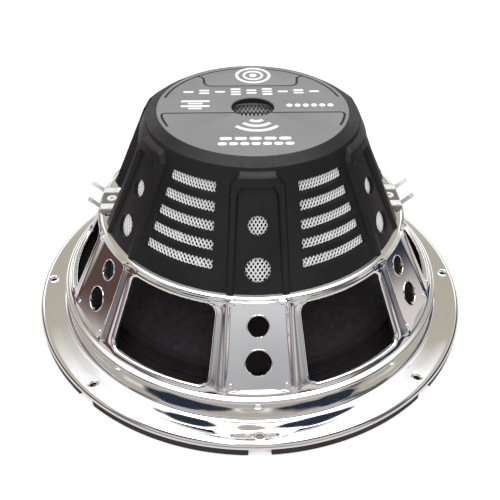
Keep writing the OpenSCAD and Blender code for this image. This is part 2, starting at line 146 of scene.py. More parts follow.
def grid_faces(rows, cols, closed_rows=False, closed_cols=False, keep=None):
    """Quads over a grid of points stored row by row."""
    faces = []
    for i in range(rows if closed_rows else rows - 1):
        for j in range(cols if closed_cols else cols - 1):
            if keep is None or keep(i, j):
                i1, j1 = (i + 1) % rows, (j + 1) % cols
                faces.append((i * cols + j, i * cols + j1, i1 * cols + j1, i1 * cols + j))
    return faces


def joined(name, parts):
    """One object from several, which are used up."""
    bm = bmesh.new()
    for part in parts:
        mesh = part.data.copy()
        mesh.transform(part.matrix_world)
        bm.from_mesh(mesh)
        bpy.data.meshes.remove(mesh)
        discard(part)
    mesh = bpy.data.meshes.new(name)
    bm.to_mesh(mesh)
    bm.free()
    obj = bpy.data.objects.new(name, mesh)
    bpy.context.scene.collection.objects.link(obj)
    return obj


def discard(obj):
    mesh = obj.data
    bpy.data.objects.remove(obj)
    bpy.data.meshes.remove(mesh)


def bake(obj):
    """Turns the object's modifiers into its mesh."""
    bpy.context.view_layer.update()
    graph = bpy.context.evaluated_depsgraph_get()
    mesh = bpy.data.meshes.new_from_object(obj.evaluated_get(graph))
    obj.modifiers.clear()
    old, obj.data = obj.data, mesh
    bpy.data.meshes.remove(old)
    return obj


def modify(obj, kind, **values):
    modifier = obj.modifiers.new(kind.lower(), kind)
    for key, value in values.items():
        setattr(modifier, key, value)
    return modifier


def cut_away(obj, other):
    """obj with other cut away from it."""
    modify(obj, "BOOLEAN", object=other, operation="DIFFERENCE", solver="MANIFOLD")
    bake(obj)
    discard(other)
    return obj


def face_outwards(obj):
    bm = bmesh.new()
    bm.from_mesh(obj.data)
    bmesh.ops.recalc_face_normals(bm, faces=bm.faces)
    bm.to_mesh(obj.data)
    bm.free()
    return obj


def shade(obj, angle=35):
    """Smooth shading, with the edges that turn by more than the angle left sharp."""
    obj.data.polygons.foreach_set("use_smooth", [True] * len(obj.data.polygons))
    obj.data.set_sharp_from_angle(angle=radians(angle))
    obj.data.update()
    return obj


def soften(obj, width, segments=2, angle=40):
    """Rounds the edges that turn by more than the angle."""
    modify(obj, "BEVEL", width=width * MM, segments=segments, limit_method="ANGLE",
           angle_limit=radians(angle), harden_normals=False)
    return bake(obj)


def revolved(name, outline, steps=180, az0=0.0, az1=360.0):
    """A closed outline [radius, height] turned round the axis, whole or between two azimuths."""
    whole = az1 - az0 >= 360
    count = steps if whole else steps + 1
    azimuths = [az0 + (az1 - az0) * i / steps for i in range(count)]
    points = [at(az, r, z) for az in azimuths for r, z in outline]
    n = len(outline)
    faces = grid_faces(count, n, closed_rows=whole, closed_cols=True)
    if not whole:
        faces += [tuple(range(n)), tuple(range((count - 1) * n, count * n))[::-1]]
    return face_outwards(make(name, points, faces))


def prism(name, outline, matrix, depth):
    """An outline [x, y] extruded both ways along z by half the depth, then placed."""
    points = [matrix @ Vector((x, y, s * depth / 2)) for s in (-1, 1) for x, y in outline]
    n = len(outline)
    faces = [tuple(range(n)), tuple(range(n, 2 * n))[::-1]]
    faces += [(i, (i + 1) % n, n + (i + 1) % n, n + i) for i in range(n)]
    return face_outwards(make(name, points, faces))


def circle(r, steps=48):
    return [(r * cos(a), r * sin(a)) for a in np.linspace(0, 2 * pi, steps, endpoint=False)]


def leaning(az, r, z, tilt):
    """A frame on a wall at an azimuth: x runs sideways, y up the wall and z outwards."""
    out = at(az, cos(radians(tilt)), sin(radians(tilt)))
    side = at(az + 90, 1, 0)
    up = out.cross(side)
    turn = Matrix((side, up, out)).transposed().to_4x4()
    return Matrix.Translation(at(az, r, z)) @ turn


def flat(x, y, z, az=0):
    """A frame that faces up, turned by an azimuth."""
    return Matrix.Translation((x, y, z)) @ Matrix.Rotation(radians(az), 4, "Z")


def ring(name, matrix, r, wire, steps=48, sides=8):
    """A round wire ring in a frame's own plane."""
    points = []
    for a in np.linspace(0, 2 * pi, steps, endpoint=False):
        for b in np.linspace(0, 2 * pi, sides, endpoint=False):
            d = r + wire * cos(b)
            points.append(matrix @ Vector((d * cos(a), d * sin(a), wire * sin(b))))
    return face_outwards(make(name, points, grid_faces(steps, sides, True, True)))


def box_distance(x, z, half_low, half_high, low, high, corner):
    """Distance to a rounded trapezium's outline: positive outside, negative inside."""
    half = half_low + (half_high - half_low) * (z - low) / (high - low)
    u = np.abs(x) - half + corner
    v = np.abs(z - (low + high) / 2) - (high - low) / 2 + corner
    return np.hypot(np.maximum(u, 0), np.maximum(v, 0)) + np.minimum(np.maximum(u, v), 0) - corner


def rounded_half(z, half_low, half_high, low, high, corner):
    """Half-width at height z of the same trapezium, held beyond its top and bottom."""
    z = min(max(z, low), high)
    half = half_low + (half_high - half_low) * (z - low) / (high - low)
    near = corner - min(z - low, high - z)
    return half - (corner - sqrt(corner ** 2 - near ** 2) if near > 0 else 0)


def corner_heights(edge, corner, way, steps=6):
    """Heights that divide a rounded corner into equal turns, from its edge."""
    return [edge + way * corner * (1 - cos(radians(90 * i / steps))) for i in range(steps + 1)]


def thinned(values, gap):
    """Sorted values, with those nearer than gap to the one before left out."""
    kept = []
    for v in sorted(values, reverse=True):
        if not kept or kept[-1] - v > gap:
            kept.append(v)
    return kept


# ---------------------------------------------------------------- basket

def wall_r(z):
    return WALL_FOOT[0] + (WALL_FOOT[1] - z) * tan(radians(WALL_TILT))


def panel_y(z):
    """Distance of a spoke's flat panel from the axis; it is pressed in further towards its top."""
    low, high = PANEL_DEPTHS
    depth = low + (high - low) * (z - PANEL["low"]) / (PANEL["high"] - PANEL["low"])
    return wall_r(z) - depth / cos(radians(WALL_TILT))


PANEL_TILT = degrees(atan(panel_y(0) - panel_y(1)))


def panel_frame(k, z, x=0):
    """A frame on the panel of spoke k, at a height and x to the side."""
    return leaning(k * 2 * SECTOR, panel_y(z), z, PANEL_TILT) @ Matrix.Translation((x, 0, 0))


def screw_frame(k):
    """A frame on the flange at screw hole k."""
    az = k * 360 / SCREWS
    x, y, _ = at(az, SCREW_CIRCLE_R, 0)
    return flat(x, y, FLANGE_Z, az)


LIP_BEND = 2.2
LIP_REACH = 1.5
RIDGE = (1.3, 1.2, 0.7)
GUTTER = 1.2
WALL_LOW, WALL_HIGH = WALL_FOOT[1] - 0.8, LEDGE_Z - 2


def wall_heights():
    """Heights of the rows of points down the cone wall, closer together at every edge."""
    steps = [-0.9, -0.45, 0, 0.45, 0.9, 1.35, 1.8, PANEL_WALL]
    lip = [0, 0.25, 0.6, 1.1, 1.6, LIP_BEND]
    heights = list(np.arange(39, 69, 4.2))
    for shape, inside, outside in ((PANEL, steps, [0]), (WINDOW, [0], lip)):
        for edge, way in ((shape["high"], -1), (shape["low"], 1)):
            heights += corner_heights(edge, shape["corner"], way)
            heights += [edge + way * d for d in inside]
            heights += [edge - way * d for d in outside]
    return [z for z in thinned(heights, 0.16) if WALL_LOW <= z <= WALL_HIGH]


def basket_profile():
    """Rows of the basket from its neck to its lip: radius, height and how evenly the columns stand."""
    z_f = NECK_Z - NECK_FILLET
    rows = [(r, NECK_Z, 1) for r in (NECK_HOLE_R, 39, 52, 64)]
    rows += [(r, z, 1) for r, z in arc((NECK_R - NECK_FILLET, z_f), NECK_FILLET, 90, 4, 5)]
    rows += [(r, z, 1) for r, z in arc((NECK_R + 3.2, LEDGE_Z + NECK_FILLET), NECK_FILLET, 184, 270, 5)]
    rows += [(r, LEDGE_Z, 1) for r in (75, 86.6, 102.6)]
    bead = arc((BEAD_CENTRE_R, LEDGE_Z - BEAD_R), BEAD_R, 90, WALL_TILT, 8)
    rows += [(r, z, 1 - smooth(i / 8)) for i, (r, z) in enumerate(bead)]
    rows += [(wall_r(z), z, 0) for z in wall_heights()]
    foot = [(134.15, SHELF_Z + 0.75), (134.5, SHELF_Z + 0.4), (135.0, SHELF_Z + 0.12), (135.6, SHELF_Z)]
    corner = arc((STEP_R - STEP_CORNER, SHELF_Z - STEP_CORNER), STEP_CORNER, 90, 4, 6)
    root = arc((ROOT_R, FLANGE_Z + ROOT_FILLET), ROOT_FILLET, 184, 270, 6)
    rows += [(r, z, (i + 1) / 12) for i, (r, z) in enumerate(foot + corner)]
    rows += [(STEP_R + 0.1, 19, 1)]
    rows += [(r, z, 1) for r, z in root]
    rows += [(r, FLANGE_Z, 1) for r in (142.5, 147)]
    rows += [(r, z, 1) for r, z in arc((FLANGE_R - LIP_R, FLANGE_Z - LIP_R), LIP_R, 90, 0, 8)]
    return rows


PANEL_COLUMNS = [0, 0.3, 0.6, 0.85, 1.0]
EDGE_STEPS = [-1.8, -1.35, -0.9, -0.45, 0, 0.5, 1.0, 1.6, 2.3]
SIDE_COLUMNS = [0.35, 0.65, 1.0]
LIP_STEPS = [-1.6, -1.1, -0.6, -0.25, 0]
WINDOW_COLUMNS = [0.15, 0.4, 0.7, 1.0]
HALF_COLUMNS = sum(map(len, (PANEL_COLUMNS, EDGE_STEPS, SIDE_COLUMNS, LIP_STEPS, WINDOW_COLUMNS))) - 1
LIP_COLUMN = HALF_COLUMNS - len(WINDOW_COLUMNS)


def column_azimuths(z, evenness):
    """Azimuths of the columns across half a sector, from a spoke's middle to a window's middle."""
    r = wall_r(z)
    panel = rounded_half(z, **PANEL)
    edge = r * sin(radians(SECTOR - degrees(asin(rounded_half(z, **WINDOW) / r))))
    inner = panel - PANEL_WALL
    ridge = panel + EDGE_STEPS[-1]
    bend = edge - LIP_BEND
    xs = [inner * f for f in PANEL_COLUMNS]
    xs += [panel + d for d in EDGE_STEPS]
    xs += [ridge + (bend - ridge) * f for f in SIDE_COLUMNS]
    xs += [edge + d for d in LIP_STEPS]
    azimuths = [degrees(asin(x / r)) for x in xs]
    azimuths += [azimuths[-1] + (SECTOR - azimuths[-1]) * f for f in WINDOW_COLUMNS]
    even = np.linspace(0, SECTOR, HALF_COLUMNS + 1)
    return even * evenness + np.array(azimuths) * (1 - evenness)


def pressed(az, r, z):
    """A point of the cone wall after pressing: panel, ridge, gutter and the lip round the window."""
    tilt = radians(WALL_TILT)
    x, y = r * sin(radians(az)), r * cos(radians(az))
    from_window = radians(SECTOR - az)
    to_panel = box_distance(x, z, **PANEL)
    to_window = box_distance(r * sin(from_window), z, **WINDOW)
    outward = RIDGE[2] * exp(-((to_panel - RIDGE[0]) / RIDGE[1]) ** 2)
    if to_panel > 0 and to_window > 0:
        width = to_panel + to_window
        outward -= GUTTER * sin(pi * to_panel / width) ** 2 * float(smooth((17 - width) / 5))
    bend = min(max(LIP_BEND - to_window, 0), LIP_BEND)
    outward -= LIP_BEND - sqrt(LIP_BEND ** 2 - bend ** 2)
    outward *= float(smooth((LEDGE_Z - 0.5 - z) / 2)) * float(smooth((z - SHELF_Z - 0.4) / 1.2))
    wall = np.interp(z, [PANEL["low"] + 2, PANEL["low"] + 6], [PANEL_FOOT_WALL, PANEL_WALL])
    sunk = float(smooth(-to_panel / wall))
    y = y + (panel_y(z) - y) * sunk
    y += outward * cos(tilt) * (1 - sunk)
    z += outward * sin(tilt) * (1 - sunk)
    return x, y, z


def basket_shell():
    """The pressed sheet, before its thickness and its holes."""
    rows = basket_profile()
    half = []
    for r, z, evenness in rows:
        row = []
        for az in column_azimuths(min(max(z, WALL_LOW), WALL_HIGH + 0.2), evenness):
            on_wall = SHELF_Z + 0.3 < z < LEDGE_Z - 0.5 and r < 134.2
            row.append(pressed(az, r, z) if on_wall else
                       (r * sin(radians(az)), r * cos(radians(az)), z))
        half.append(row)
    half = np.array(half)
    mirror = half[:, -2::-1]
    turn = radians(2 * SECTOR)
    mx = mirror[..., 0] * -cos(turn) + mirror[..., 1] * sin(turn)
    my = mirror[..., 0] * sin(turn) + mirror[..., 1] * cos(turn)
    sector = np.concatenate([half, np.stack([mx, my, mirror[..., 2]], -1)], 1)[:, :-1]
    full = []
    for k in range(SPOKES):
        c, s = cos(k * turn), sin(k * turn)
        full.append(np.stack([sector[..., 0] * c + sector[..., 1] * s,
                              -(sector[..., 1] * c - sector[..., 0] * s), sector[..., 2]], -1))
    full = np.concatenate(full, 1)
    heights = [z for r, z, _ in rows]
    per_sector = 2 * HALF_COLUMNS

    def keep(i, j):
        k = j % per_sector
        in_window = WINDOW["low"] - 0.01 < heights[i + 1] and heights[i] < WINDOW["high"] + 0.01
        on_wall = rows[i][2] == 0 and rows[i + 1][2] == 0
        return not (in_window and on_wall and LIP_COLUMN <= k < per_sector - LIP_COLUMN)

    count, cols = full.shape[:2]
    return make("basket_steel", full, grid_faces(count, cols, closed_cols=True, keep=keep))


def turn_in_lips(obj):
    """Carries the sheet's edge round each window further inwards."""
    bm = bmesh.new()
    bm.from_mesh(obj.data)
    bmesh.ops.recalc_face_normals(bm, faces=bm.faces)
    top = max(bm.faces, key=lambda f: f.calc_center_median().z)
    if top.normal.z < 0:
        bmesh.ops.reverse_faces(bm, faces=bm.faces)
    bm.normal_update()
    low, high = (WINDOW["low"] - 4) * MM, (WINDOW["high"] + 4) * MM
    rim = [e for e in bm.edges if e.is_boundary and all(low < v.co.z < high for v in e.verts)]
    tilt = radians(WALL_TILT)
    made = bmesh.ops.extrude_edge_only(bm, edges=rim)
    for v in made["geom"]:
        if isinstance(v, bmesh.types.BMVert):
            out = Vector((v.co.x, v.co.y, 0)).normalized() * cos(tilt) + Vector((0, 0, sin(tilt)))
            v.co = v.co - out * LIP_REACH * MM
    bm.to_mesh(obj.data)
    bm.free()


# Holes in the ledge at either terminal board: middle, then half-lengths
LEAD_SLOT = ((89.6, 0), (2, 13))
DARK_SLOT = ((100, -17.1), (2, 1.5))
RIVET_X, RIVET_HOLE_R = 98.7, 2
MOTOR_SCREW_CIRCLE_R, MOTOR_SCREW_R = 58, 2.4


def basket_cutters():
    """Everything that is punched out of the basket."""
    cutters = []
    for k in range(SPOKES):
        for z, r in PANEL_HOLES:
            cutters.append(prism("punch", circle(r), panel_frame(k, z), 16))
        x, y, _ = at((2 * k + 1) * SECTOR, MOTOR_SCREW_CIRCLE_R, 0)
        cutters.append(prism("punch", circle(MOTOR_SCREW_R, 24), flat(x, y, NECK_Z), 9))
    for k in range(SCREWS):
        cutters.append(prism("punch", circle(SCREW_HOLE_R, 32), screw_frame(k), 8))
    for side in (-1, 1):
        for (x, y), (half_x, half_y) in (LEAD_SLOT, DARK_SLOT):
            outline = [(-half_x, -half_y), (half_x, -half_y), (half_x, half_y), (-half_x, half_y)]
            cutters.append(prism("punch", outline, flat(side * x, y, LEDGE_Z), 8))
        cutters.append(prism("punch", circle(RIVET_HOLE_R, 24), flat(side * RIVET_X, 0, LEDGE_Z), 8))
    return joined("basket_cutters", cutters)


def flatten_panels(obj):
    """Flat shading for the faces that lie in the plane of a spoke's panel."""
    planes = [panel_frame(k, PANEL["low"]) for k in range(SPOKES)]
    planes = [(plane.translation, plane.col[2].xyz) for plane in planes]
    for face in obj.data.polygons:
        for point, normal in planes:
            if face.normal.dot(normal) > 0.999 and abs((face.center / MM - point).dot(normal)) < 0.1:
                face.use_smooth = False


def build_basket():
    obj = basket_shell()
    turn_in_lips(obj)
    modify(obj, "SOLIDIFY", thickness=SHEET_T * MM, offset=-1, use_quality_normals=True)
    bake(obj)
    cut_away(obj, basket_cutters())
    soften(obj, 0.3, 2, 50)
    trims = []
    x, low = PANEL_DIMPLE
    for k in range(SPOKES):
        trims += [ring("trim", panel_frame(k, z), r + 0.35, 0.42) for z, r in PANEL_HOLES]
        trims += [ring("trim", panel_frame(k, low, side * x), 0.9, 0.5, 24) for side in (-1, 1)]
    trims += [ring("trim", screw_frame(k), SCREW_HOLE_R + 0.55, 0.55) for k in range(SCREWS)]
    obj = shade(joined("basket_steel", [obj] + trims), 38)
    flatten_panels(obj)
    return obj


basket = build_basket()
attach(basket, FIXED)
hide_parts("basket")


# ---------------------------------------------------------------- cover

def cover_r(z):
    return COVER_SIDE[0] + (COVER_SIDE[1] - z) * COVER_SLOPE


def side_of(points, x, z):
    """Signed distance to a convex outline given anticlockwise: positive outside."""
    best = -1e9
    for (x0, z0), (x1, z1) in zip(points, points[1:] + points[:1]):
        length = hypot(x1 - x0, z1 - z0)
        best = max(best, ((x - x0) * (z1 - z0) - (z - z0) * (x1 - x0)) / length)
    return best


def symmetric(half):
    """An outline that is the same on both sides of x = 0, anticlockwise from its lowest right point."""
    return half + [(-x, z) for x, z in reversed(half)]


RIB_HALF = [(19.6, 80.0), (16.0, 142.3), (10.6, 149.0)]
RECESS_HALF = [(14.6, 79.0), (11.1, 137.3), (8.4, 140.8)]
RIB_BEVEL_Z = 146.6
RIB_EDGE = 1.5
RECESS_STEPS = [-0.2, 0.12, 0.45, 0.75, 1.05, 1.3]
RIB_STEPS = [-1.3, -1.05, -0.75, -0.45, -0.12, 0.2]
RECESS_COLUMNS = [0, 0.35, 0.7]
PLAIN_COLUMNS = [0.12, 0.3, 0.5, 0.75, 1.0]


def half_at(half, z):
    """Half-width of a half outline at height z, held beyond its ends."""
    zs = [p[1] for p in half]
    return float(np.interp(z, zs, [p[0] for p in half]))


def cover_columns(z):
    r = cover_r(min(z, COVER_SIDE[1]))
    recess, rib = half_at(RECESS_HALF, z), half_at(RIB_HALF, z)
    xs = [(recess + RECESS_STEPS[0]) * f for f in RECESS_COLUMNS]
    xs += [recess + d for d in RECESS_STEPS] + [(recess + rib) / 2] + [rib + d for d in RIB_STEPS]
    azimuths = [degrees(asin(x / r)) for x in xs]
    return azimuths + [azimuths[-1] + (SECTOR - azimuths[-1]) * f for f in PLAIN_COLUMNS]


def proud(x, z):
    """How far the cover's skin stands out at a point of a rib frame."""
    to_rib = side_of(symmetric(RIB_HALF), x, z)
    to_recess = side_of(symmetric(RECESS_HALF), x, z)
    rise = float(smooth((0.2 - to_rib) / RIB_EDGE)) * float(smooth((to_recess + 0.2) / RIB_EDGE))
    height = np.interp(z, [COVER_FOOT[1], RIB_BEVEL_Z, COVER_SIDE[1]], [RIB_FOOT_H, RIB_H, 0])
    return float(height) * rise


def cover_heights():
    recess_foot, recess_top = RECESS_HALF[1][1], RECESS_HALF[2][1]
    rib_corner, rib_top = RIB_HALF[1][1], RIB_HALF[2][1]
    heights = list(np.arange(COVER_FOOT[1], 135, 6)) + [recess_foot + d for d in (-2.3, -1.1, 0, 1.1, 2.1)]
    heights += [recess_top + d for d in (-0.9, -0.2, 0.12, 0.45, 0.75, 1.05, 1.3)]
    heights += [rib_corner + d for d in (0, 0.5, 1.3)] + [RIB_BEVEL_Z + d for d in (-0.3, 0, 0.3)]
    heights += [rib_top + d for d in RIB_STEPS + [0.9]]
    return sorted(set(round(float(z), 3) for z in heights))


def cover_solid():
    """The cover's outer shape as a solid body."""
    rows = []
    for z in cover_heights():
        r = cover_r(z)
        row = []
        for az in cover_columns(z):
            x = r * sin(radians(az))
            row.append((az, r + proud(x, z) / cos(radians(COVER_TILT)), z))
        rows.append(row)
    last = [p[0] for p in rows[-1]]
    turn = atan2(COVER_TOP_Z - COVER_SIDE[1], COVER_SIDE[0] - COVER_EDGE_R)
    side = arc((COVER_SIDE[0] - 1.0, COVER_SIDE[1] - 0.55), 1.0, 90 - 63.3, 90 - 29.4, 3)
    edge = [(COVER_EDGE_R + 0.9, COVER_TOP_Z - 0.9 * tan(turn)),
            (COVER_EDGE_R + 0.35, COVER_TOP_Z - 0.08), (COVER_EDGE_R, COVER_TOP_Z),
            (COVER_EDGE_R - 0.2, COVER_TOP_Z - 0.1), (COVER_EDGE_R - 0.2, BADGE_Z), (VENT_R + 4, BADGE_Z)]
    for r, z in side + edge:
        rows.append([(az, r, z) for az in last])
    columns = len(last) - 1
    points = []
    for row in rows:
        half = list(row) + [(2 * SECTOR - az, r, z) for az, r, z in reversed(row[:-1])][:-1]
        for k in range(SPOKES):
            points += [at(az + k * 2 * SECTOR, r, z) for az, r, z in half]
    cols = 2 * columns * SPOKES
    faces = grid_faces(len(rows), cols, closed_cols=True)
    top = (len(rows) - 1) * cols
    points.append(Vector((0, 0, BADGE_Z)))
    faces += [(top + i, top + (i + 1) % cols, len(points) - 1) for i in range(cols)]
    faces.append(tuple(range(cols)))
    return face_outwards(make("motor_cover_shell", points, faces))


def pocket_outline(side, grow):
    near, half_az, far = 74.5 - grow, radians(14.4), 120
    half, far_half = near * tan(half_az) + grow, far * tan(half_az) + grow
    return [(side * near, -half), (side * far, -far_half), (side * far, far_half), (side * near, half)]


def louvre(az0, az1, z, height, steps=14):
    """A slot through the cover's side between two azimuths, with rounded corners."""
    corner = 1.0
    mid = (az0 + az1) / 2
    r = cover_r(z + height / 2)
    half = radians(az1 - az0) / 2 * r
    outline = []
    for cx, cz, a0 in ((half - corner, height - corner, 0), (corner - half, height - corner, 90),
                       (corner - half, corner, 180), (half - corner, corner, 270)):
        outline += [(cx + corner * cos(radians(a0 + 30 * i)),
                     cz + corner * sin(radians(a0 + 30 * i))) for i in range(4)]
    dense = []
    for (x0, z0), (x1, z1) in zip(outline, outline[1:] + outline[:1]):
        pieces = max(1, int(abs(x1 - x0) / (2 * half) * steps))
        dense += [(x0 + (x1 - x0) * i / pieces, z0 + (z1 - z0) * i / pieces) for i in range(pieces)]
    inner, outer = r - 12, r + 12
    points = [at(mid + degrees(x / r), radius, z + h) for radius in (inner, outer) for x, h in dense]
    n = len(dense)
    faces = [tuple(range(n)), tuple(range(n, 2 * n))[::-1]]
    faces += [(i, (i + 1) % n, n + (i + 1) % n, n + i) for i in range(n)]
    obj = make("cut", points, faces)
    modify(obj, "TRIANGULATE")
    return face_outwards(bake(obj))


SLOT_ROWS = 5
SLOT_LOW, SLOT_PITCH, SLOT_HEIGHT = 92.8, 10.5, 7.1
# Azimuths of a slot's ends, at the lowest and the highest slot
SLOT_INNER_AZ, SLOT_OUTER_AZ = (16.5, 18.8), (46.0, 43.5)
RIB_HOLES = ((120.2, 6.0), (95.7, 7.8))
POCKET_Z = 121


def cover_cutters():
    cutters = [prism("cut", circle(VENT_R, 96), flat(0, 0, BADGE_Z), 20)]
    for side in (-1, 1):
        cutters.append(prism("cut", pocket_outline(side, 0), flat(0, 0, POCKET_Z), 80))
    for k in range(SPOKES):
        for z, r in RIB_HOLES:
            cutters.append(prism("cut", circle(r), leaning(k * 2 * SECTOR, cover_r(z), z, COVER_TILT), 16))
    for az in (0, 180):
        for turn in (-1, 1):
            for i in range(SLOT_ROWS):
                s = i / (SLOT_ROWS - 1)
                ends = [az + turn * (low + (high - low) * s) for low, high in (SLOT_INNER_AZ, SLOT_OUTER_AZ)]
                cutters.append(louvre(min(ends), max(ends), SLOT_LOW + SLOT_PITCH * i, SLOT_HEIGHT))
    return joined("cover_cutters", cutters)


def build_cover():
    obj = cover_solid()
    inner = COVER_T / cos(radians(COVER_TILT))
    low, high = LEDGE_Z - 1, COVER_SIDE[1] - 2
    hollow = revolved("hollow", [(0.01, low), (cover_r(low) - inner, low), (cover_r(high) - inner, high),
                                 (COVER_EDGE_R - 1, BADGE_Z - COVER_T), (0.01, BADGE_Z - COVER_T)], 120)
    for side in (-1, 1):
        cut_away(hollow, prism("wall", pocket_outline(side, 2), flat(0, 0, POCKET_Z), 82))
    cut_away(obj, hollow)
    cut_away(obj, cover_cutters())
    soften(obj, 0.35, 2, 48)
    return shade(obj, 30)


cover = build_cover()
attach(cover, FIXED)
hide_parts("motor_cover")


# ---------------------------------------------------------------- expanded metal, badge and vent

def lattice(name, place, columns, rows, thickness, keep=None, open_share=0.74, tilt=0.22):
    """Expanded metal: diamonds over a grid, each a ring round a hole. place(u, v, d) puts a point that
    is d above the sheet's middle; u and v count half diamonds."""
    points, faces, index = [], [], {}

    def corner(u, v, d, key):
        if key not in index:
            index[key] = len(points)
            points.append(place(u, v, d))
        return index[key]

    half = thickness / 2
    for j in range(rows + 1):
        for i in range(columns + 1):
            if (i + j) % 2 == 0 or (keep and not keep(i, j)):
                continue
            around = ((i + 1, j), (i, j + 1), (i - 1, j), (i, j - 1))
            rim = [[corner(u, v, s * half, (u, v, s)) for u, v in around] for s in (1, -1)]
            hole = []
            for s in (1, -1):
                hole.append([])
                for u, v in around:
                    hu, hv = i + (u - i) * open_share, j + (v - j) * open_share
                    hole[-1].append(len(points))
                    points.append(place(hu, hv, s * half + tilt * (v - j)))
            for a in range(4):
                b = (a + 1) % 4
                faces.append((rim[0][a], rim[0][b], hole[0][b], hole[0][a]))
                faces.append((rim[1][b], rim[1][a], hole[1][a], hole[1][b]))
                faces.append((hole[0][a], hole[0][b], hole[1][b], hole[1][a]))
    return make(name, points, faces)


CELL = (2.5, 3.9)
LINER_LOW, LINER_HIGH, LINER_HALF = 85.0, 145.0, 70.0
LINER_DEPTH = COVER_T + 0.8


def build_liner():
    parts = []
    columns = 2 * int(radians(2 * LINER_HALF) * cover_r(113) / CELL[0])
    rows = 2 * int((LINER_HIGH - LINER_LOW) / cos(radians(COVER_TILT)) / CELL[1])
    for middle in (0, 180):
        def place(u, v, d):
            z = LINER_LOW + (LINER_HIGH - LINER_LOW) * v / rows
            r = cover_r(z) + (d - LINER_DEPTH) / cos(radians(COVER_TILT))
            return at(middle - LINER_HALF + 2 * LINER_HALF * u / columns, r, z)
        parts.append(lattice("half", place, columns, rows, 0.5))
    return joined("expanded_mesh_liner", parts)


liner = build_liner()
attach(liner, FIXED)
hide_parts("mesh_liner")


def build_screen():
    low, high = size_of("vent_screen")
    reach, cell = high[0] - 0.5, (2.7, 8.0)
    columns, rows = 2 * int(2 * reach / cell[0] + 1), 2 * int(2 * reach / cell[1] + 1)
    z = (low[2] + high[2]) / 2

    def place(u, v, d):
        return Vector(((u - columns / 2) * cell[0] / 2, (v - rows / 2) * cell[1] / 2, z + d))

    def keep(i, j):
        return place(i, j, 0).xy.length < reach - 1

    mesh = lattice("mesh", place, columns, rows, 0.4, keep, 0.72, 0.12)
    inner = reach - 0.7
    rim = revolved("rim", [(inner, low[2]), (high[0], low[2]), (high[0], high[2]), (inner, high[2])], 72)
    return joined("vent_mesh", [mesh, rim])


screen = build_screen()
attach(screen, FIXED)
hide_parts("vent_screen")


def stroke(name, path, width, z0, z1, closed=False):
    """A flat line of a given width along a path, as a solid between two heights."""
    path = np.array(path, float)
    ahead = np.roll(path, -1, 0) - path
    behind = path - np.roll(path, 1, 0)
    if not closed:
        ahead[-1], behind[0] = behind[-1], ahead[0]
    ahead /= np.linalg.norm(ahead, axis=1)[:, None]
    behind /= np.linalg.norm(behind, axis=1)[:, None]
    mean = ahead + behind
    mean /= (1 + (ahead * behind).sum(1))[:, None]
    side = np.stack([-mean[:, 1], mean[:, 0]], -1) * width / 2
    section = [(1, z0), (1, z1), (-1, z1), (-1, z0)]
    points = [(*(p + s * w), z) for p, w in zip(path, side) for s, z in section]
    n = len(path)
    faces = grid_faces(n, 4, closed_rows=closed, closed_cols=True)
    if not closed:
        faces += [(0, 1, 2, 3), tuple(4 * (n - 1) + i for i in (3, 2, 1, 0))]
    return face_outwards(make(name, points, faces))


def bend(centre, r, a0, a1, steps=24):
    """Points of a flat arc seen from above, in degrees anticlockwise from +X."""
    return [(centre[0] + r * cos(radians(a)), centre[1] + r * sin(radians(a)))
            for a in np.linspace(a0, a1, steps + 1)]


def circle_path(centre, r, steps=48):
    return bend(centre, r, 0, 360, steps)[:-1]


def pill(x, y, length, width):
    """A bar with round ends, as an outline round its middle."""
    r = min(width, length) / 2
    half = length / 2 - r
    return bend((x + half, y), r, -90, 90, 8) + bend((x - half, y), r, 90, 270, 8)


BADGE_R = 62.6


# Width and depth of the engraved lines, and thickness of the black sheet in their bottoms, which is painted
# shade
LINE_WIDTH, LINE_DEPTH, LINE_SHADE_SHEET = 1.6, 0.55, 0.2


def badge_lines():
    """The paths engraved in the disc: an arc and a tab at the rear, and a line with bent ends in front."""
    tab = [(-37.6, 46.9)] + bend((-37.4, 41.2), 5.0, 88, 12, 8) + bend((-26.4, 36.3), 5.6, 190, 270, 8)
    tab += [(-x, y) for x, y in reversed(tab)]
    front = [(-40, -8.4), (-20, -8.4), (20, -8.4), (40, -8.4)]
    corner = bend((56.2, -10.6), 2.2, 90, 20, 6) + bend((0, 0), 59.8, -11.5, -26, 10)
    return bend((0, 0), 59.2, 13, 167, 72), tab, [(-x, y) for x, y in reversed(corner)] + front + corner


def build_badge():
    """The grey disc with its engraved lines."""
    disc = revolved("badge_disc_plate", [(VENT_R, BADGE_Z), (BADGE_R, BADGE_Z), (BADGE_R, COVER_TOP_Z - 0.25),
                                         (BADGE_R - 0.25, COVER_TOP_Z), (VENT_R + 0.4, COVER_TOP_Z),
                                         (VENT_R, COVER_TOP_Z - 0.4)], 180)
    for path in badge_lines():
        cut_away(disc, stroke("line", path, LINE_WIDTH, COVER_TOP_Z - LINE_DEPTH, COVER_TOP_Z + 1))
    soften(disc, 0.18, 2, 50)
    return shade(disc, 35)


